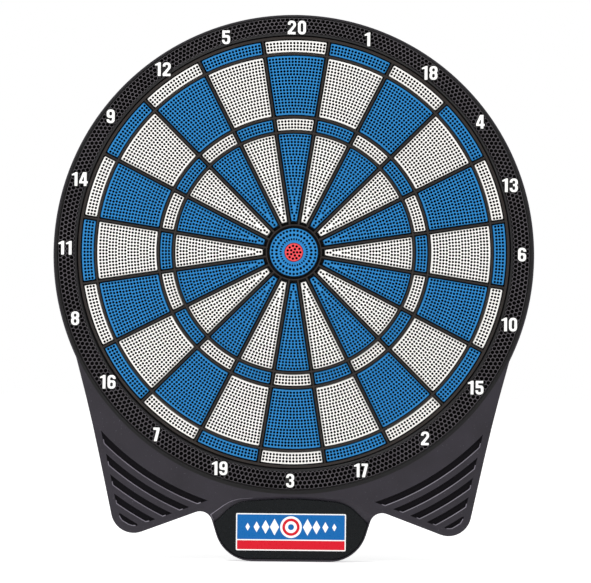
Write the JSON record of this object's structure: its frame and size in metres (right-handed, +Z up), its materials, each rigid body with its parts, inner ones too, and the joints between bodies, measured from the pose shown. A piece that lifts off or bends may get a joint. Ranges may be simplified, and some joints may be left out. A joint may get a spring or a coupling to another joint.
{
  "type": "electronic dartboard",
  "caption": "Wall-hung soft-tip dartboard with pressing blue and white segments in a web, a numbered catch ring, and a charcoal case with grooved wings.",
  "frame": {"origin": "on the wall plane, at the middle of the rear cover's back face, straight behind the bull", "axes": "+X right as the player sees it, +Y into the wall, +Z up; the playing face looks along -Y"},
  "size_m": [0.446, 0.032, 0.5072],
  "materials": {
    "case_charcoal": "fine moulded grain",
    "web_black": "satin moulded",
    "ring_black": "satin moulded",
    "segment_blue": "satin moulded",
    "segment_white": "satin moulded",
    "segment_red": "satin moulded",
    "panel_black": "smooth, softly glossy",
    "badge_print": "printed plate, glossy",
    "rear_black": "coarse moulded grain",
    "mat_rubber": "matt",
    "membrane_film": "clear amber film",
    "hardboard": "pressed hardboard",
    "circuit_green": "solder mask",
    "speaker_metal": "stamped frame",
    "contact_metal": "nickel plated",
    "cell_wrap": "printed sleeve",
    "key_red": "satin moulded",
    "screw_steel": "zinc plated"
  },
  "bodies": {
    "board": {"front_case": "case_charcoal", "rear_cover": "rear_black", "spider": "web_black", "catch_ring": "ring_black", "fascia_panel": "panel_black", "badge_plate": "badge_print", "rubber_mat": "mat_rubber", "sensor_membrane": "membrane_film", "support_board": "hardboard", "controller_board": "circuit_green", "speaker": "speaker_metal", "battery_contacts": "contact_metal", "batteries": "cell_wrap", "case_screws": "screw_steel"},
    "single_20": {"single_20": "segment_blue"},
    "single_1": {"single_1": "segment_white"},
    "single_18": {"single_18": "segment_blue"},
    "single_4": {"single_4": "segment_white"},
    "single_13": {"single_13": "segment_blue"},
    "single_6": {"single_6": "segment_white"},
    "single_10": {"single_10": "segment_blue"},
    "single_15": {"single_15": "segment_white"},
    "single_2": {"single_2": "segment_blue"},
    "single_17": {"single_17": "segment_white"},
    "single_3": {"single_3": "segment_blue"},
    "single_19": {"single_19": "segment_white"},
    "single_7": {"single_7": "segment_blue"},
    "single_16": {"single_16": "segment_white"},
    "single_8": {"single_8": "segment_blue"},
    "single_11": {"single_11": "segment_white"},
    "single_14": {"single_14": "segment_blue"},
    "single_9": {"single_9": "segment_white"},
    "single_12": {"single_12": "segment_blue"},
    "single_5": {"single_5": "segment_white"},
    "double_triple_20": {"double_triple_20": "segment_white"},
    "double_triple_1": {"double_triple_1": "segment_blue"},
    "double_triple_18": {"double_triple_18": "segment_white"},
    "double_triple_4": {"double_triple_4": "segment_blue"},
    "double_triple_13": {"double_triple_13": "segment_white"},
    "double_triple_6": {"double_triple_6": "segment_blue"},
    "double_triple_10": {"double_triple_10": "segment_white"},
    "double_triple_15": {"double_triple_15": "segment_blue"},
    "double_triple_2": {"double_triple_2": "segment_white"},
    "double_triple_17": {"double_triple_17": "segment_blue"},
    "double_triple_3": {"double_triple_3": "segment_white"},
    "double_triple_19": {"double_triple_19": "segment_blue"},
    "double_triple_7": {"double_triple_7": "segment_white"},
    "double_triple_16": {"double_triple_16": "segment_blue"},
    "double_triple_8": {"double_triple_8": "segment_white"},
    "double_triple_11": {"double_triple_11": "segment_blue"},
    "double_triple_14": {"double_triple_14": "segment_white"},
    "double_triple_9": {"double_triple_9": "segment_blue"},
    "double_triple_12": {"double_triple_12": "segment_white"},
    "double_triple_5": {"double_triple_5": "segment_blue"},
    "outer_bull": {"outer_bull": "segment_blue"},
    "inner_bull": {"inner_bull": "segment_red"},
    "key_power": {"key_power": "key_red"},
    "key_game": {"key_game": "key_red"},
    "key_player": {"key_player": "key_red"},
    "battery_door": {"battery_door": "rear_black"}
  },
  "joints": [
    {"name": "press_single_20", "type": "slide", "parent": "board", "child": "single_20", "axis": [0, 1, 0], "range_m": [0, 0.0012], "stiffness_N_per_m": 2500, "springref_m": -0.0004},
    {"name": "press_single_1", "type": "slide", "parent": "board", "child": "single_1", "axis": [0, 1, 0], "range_m": [0, 0.0012], "stiffness_N_per_m": 2500, "springref_m": -0.0004},
    {"name": "press_single_18", "type": "slide", "parent": "board", "child": "single_18", "axis": [0, 1, 0], "range_m": [0, 0.0012], "stiffness_N_per_m": 2500, "springref_m": -0.0004},
    {"name": "press_single_4", "type": "slide", "parent": "board", "child": "single_4", "axis": [0, 1, 0], "range_m": [0, 0.0012], "stiffness_N_per_m": 2500, "springref_m": -0.0004},
    {"name": "press_single_13", "type": "slide", "parent": "board", "child": "single_13", "axis": [0, 1, 0], "range_m": [0, 0.0012], "stiffness_N_per_m": 2500, "springref_m": -0.0004},
    {"name": "press_single_6", "type": "slide", "parent": "board", "child": "single_6", "axis": [0, 1, 0], "range_m": [0, 0.0012], "stiffness_N_per_m": 2500, "springref_m": -0.0004},
    {"name": "press_single_10", "type": "slide", "parent": "board", "child": "single_10", "axis": [0, 1, 0], "range_m": [0, 0.0012], "stiffness_N_per_m": 2500, "springref_m": -0.0004},
    {"name": "press_single_15", "type": "slide", "parent": "board", "child": "single_15", "axis": [0, 1, 0], "range_m": [0, 0.0012], "stiffness_N_per_m": 2500, "springref_m": -0.0004},
    {"name": "press_single_2", "type": "slide", "parent": "board", "child": "single_2", "axis": [0, 1, 0], "range_m": [0, 0.0012], "stiffness_N_per_m": 2500, "springref_m": -0.0004},
    {"name": "press_single_17", "type": "slide", "parent": "board", "child": "single_17", "axis": [0, 1, 0], "range_m": [0, 0.0012], "stiffness_N_per_m": 2500, "springref_m": -0.0004},
    {"name": "press_single_3", "type": "slide", "parent": "board", "child": "single_3", "axis": [0, 1, 0], "range_m": [0, 0.0012], "stiffness_N_per_m": 2500, "springref_m": -0.0004},
    {"name": "press_single_19", "type": "slide", "parent": "board", "child": "single_19", "axis": [0, 1, 0], "range_m": [0, 0.0012], "stiffness_N_per_m": 2500, "springref_m": -0.0004},
    {"name": "press_single_7", "type": "slide", "parent": "board", "child": "single_7", "axis": [0, 1, 0], "range_m": [0, 0.0012], "stiffness_N_per_m": 2500, "springref_m": -0.0004},
    {"name": "press_single_16", "type": "slide", "parent": "board", "child": "single_16", "axis": [0, 1, 0], "range_m": [0, 0.0012], "stiffness_N_per_m": 2500, "springref_m": -0.0004},
    {"name": "press_single_8", "type": "slide", "parent": "board", "child": "single_8", "axis": [0, 1, 0], "range_m": [0, 0.0012], "stiffness_N_per_m": 2500, "springref_m": -0.0004},
    {"name": "press_single_11", "type": "slide", "parent": "board", "child": "single_11", "axis": [0, 1, 0], "range_m": [0, 0.0012], "stiffness_N_per_m": 2500, "springref_m": -0.0004},
    {"name": "press_single_14", "type": "slide", "parent": "board", "child": "single_14", "axis": [0, 1, 0], "range_m": [0, 0.0012], "stiffness_N_per_m": 2500, "springref_m": -0.0004},
    {"name": "press_single_9", "type": "slide", "parent": "board", "child": "single_9", "axis": [0, 1, 0], "range_m": [0, 0.0012], "stiffness_N_per_m": 2500, "springref_m": -0.0004},
    {"name": "press_single_12", "type": "slide", "parent": "board", "child": "single_12", "axis": [0, 1, 0], "range_m": [0, 0.0012], "stiffness_N_per_m": 2500, "springref_m": -0.0004},
    {"name": "press_single_5", "type": "slide", "parent": "board", "child": "single_5", "axis": [0, 1, 0], "range_m": [0, 0.0012], "stiffness_N_per_m": 2500, "springref_m": -0.0004},
    {"name": "press_double_triple_20", "type": "slide", "parent": "board", "child": "double_triple_20", "axis": [0, 1, 0], "range_m": [0, 0.0012], "stiffness_N_per_m": 2500, "springref_m": -0.0004},
    {"name": "press_double_triple_1", "type": "slide", "parent": "board", "child": "double_triple_1", "axis": [0, 1, 0], "range_m": [0, 0.0012], "stiffness_N_per_m": 2500, "springref_m": -0.0004},
    {"name": "press_double_triple_18", "type": "slide", "parent": "board", "child": "double_triple_18", "axis": [0, 1, 0], "range_m": [0, 0.0012], "stiffness_N_per_m": 2500, "springref_m": -0.0004},
    {"name": "press_double_triple_4", "type": "slide", "parent": "board", "child": "double_triple_4", "axis": [0, 1, 0], "range_m": [0, 0.0012], "stiffness_N_per_m": 2500, "springref_m": -0.0004},
    {"name": "press_double_triple_13", "type": "slide", "parent": "board", "child": "double_triple_13", "axis": [0, 1, 0], "range_m": [0, 0.0012], "stiffness_N_per_m": 2500, "springref_m": -0.0004},
    {"name": "press_double_triple_6", "type": "slide", "parent": "board", "child": "double_triple_6", "axis": [0, 1, 0], "range_m": [0, 0.0012], "stiffness_N_per_m": 2500, "springref_m": -0.0004},
    {"name": "press_double_triple_10", "type": "slide", "parent": "board", "child": "double_triple_10", "axis": [0, 1, 0], "range_m": [0, 0.0012], "stiffness_N_per_m": 2500, "springref_m": -0.0004},
    {"name": "press_double_triple_15", "type": "slide", "parent": "board", "child": "double_triple_15", "axis": [0, 1, 0], "range_m": [0, 0.0012], "stiffness_N_per_m": 2500, "springref_m": -0.0004},
    {"name": "press_double_triple_2", "type": "slide", "parent": "board", "child": "double_triple_2", "axis": [0, 1, 0], "range_m": [0, 0.0012], "stiffness_N_per_m": 2500, "springref_m": -0.0004},
    {"name": "press_double_triple_17", "type": "slide", "parent": "board", "child": "double_triple_17", "axis": [0, 1, 0], "range_m": [0, 0.0012], "stiffness_N_per_m": 2500, "springref_m": -0.0004},
    {"name": "press_double_triple_3", "type": "slide", "parent": "board", "child": "double_triple_3", "axis": [0, 1, 0], "range_m": [0, 0.0012], "stiffness_N_per_m": 2500, "springref_m": -0.0004},
    {"name": "press_double_triple_19", "type": "slide", "parent": "board", "child": "double_triple_19", "axis": [0, 1, 0], "range_m": [0, 0.0012], "stiffness_N_per_m": 2500, "springref_m": -0.0004},
    {"name": "press_double_triple_7", "type": "slide", "parent": "board", "child": "double_triple_7", "axis": [0, 1, 0], "range_m": [0, 0.0012], "stiffness_N_per_m": 2500, "springref_m": -0.0004},
    {"name": "press_double_triple_16", "type": "slide", "parent": "board", "child": "double_triple_16", "axis": [0, 1, 0], "range_m": [0, 0.0012], "stiffness_N_per_m": 2500, "springref_m": -0.0004},
    {"name": "press_double_triple_8", "type": "slide", "parent": "board", "child": "double_triple_8", "axis": [0, 1, 0], "range_m": [0, 0.0012], "stiffness_N_per_m": 2500, "springref_m": -0.0004},
    {"name": "press_double_triple_11", "type": "slide", "parent": "board", "child": "double_triple_11", "axis": [0, 1, 0], "range_m": [0, 0.0012], "stiffness_N_per_m": 2500, "springref_m": -0.0004},
    {"name": "press_double_triple_14", "type": "slide", "parent": "board", "child": "double_triple_14", "axis": [0, 1, 0], "range_m": [0, 0.0012], "stiffness_N_per_m": 2500, "springref_m": -0.0004},
    {"name": "press_double_triple_9", "type": "slide", "parent": "board", "child": "double_triple_9", "axis": [0, 1, 0], "range_m": [0, 0.0012], "stiffness_N_per_m": 2500, "springref_m": -0.0004},
    {"name": "press_double_triple_12", "type": "slide", "parent": "board", "child": "double_triple_12", "axis": [0, 1, 0], "range_m": [0, 0.0012], "stiffness_N_per_m": 2500, "springref_m": -0.0004},
    {"name": "press_double_triple_5", "type": "slide", "parent": "board", "child": "double_triple_5", "axis": [0, 1, 0], "range_m": [0, 0.0012], "stiffness_N_per_m": 2500, "springref_m": -0.0004},
    {"name": "press_outer_bull", "type": "slide", "parent": "board", "child": "outer_bull", "axis": [0, 1, 0], "range_m": [0, 0.0012], "stiffness_N_per_m": 2500, "springref_m": -0.0004},
    {"name": "press_inner_bull", "type": "slide", "parent": "board", "child": "inner_bull", "axis": [0, 1, 0], "range_m": [0, 0.0012], "stiffness_N_per_m": 2500, "springref_m": -0.0004},
    {"name": "press_key_power", "type": "slide", "parent": "board", "child": "key_power", "axis": [0, 0, 1], "range_m": [0, 0.0012], "stiffness_N_per_m": 600, "springref_m": -0.0008},
    {"name": "press_key_game", "type": "slide", "parent": "board", "child": "key_game", "axis": [0, 0, 1], "range_m": [0, 0.0012], "stiffness_N_per_m": 600, "springref_m": -0.0008},
    {"name": "press_key_player", "type": "slide", "parent": "board", "child": "key_player", "axis": [0, 0, 1], "range_m": [0, 0.0012], "stiffness_N_per_m": 600, "springref_m": -0.0008},
    {"name": "battery_door_lift", "type": "slide", "parent": "board", "child": "battery_door", "axis": [0, 1, 0], "range_m": [0, 0.03]}
  ]
}
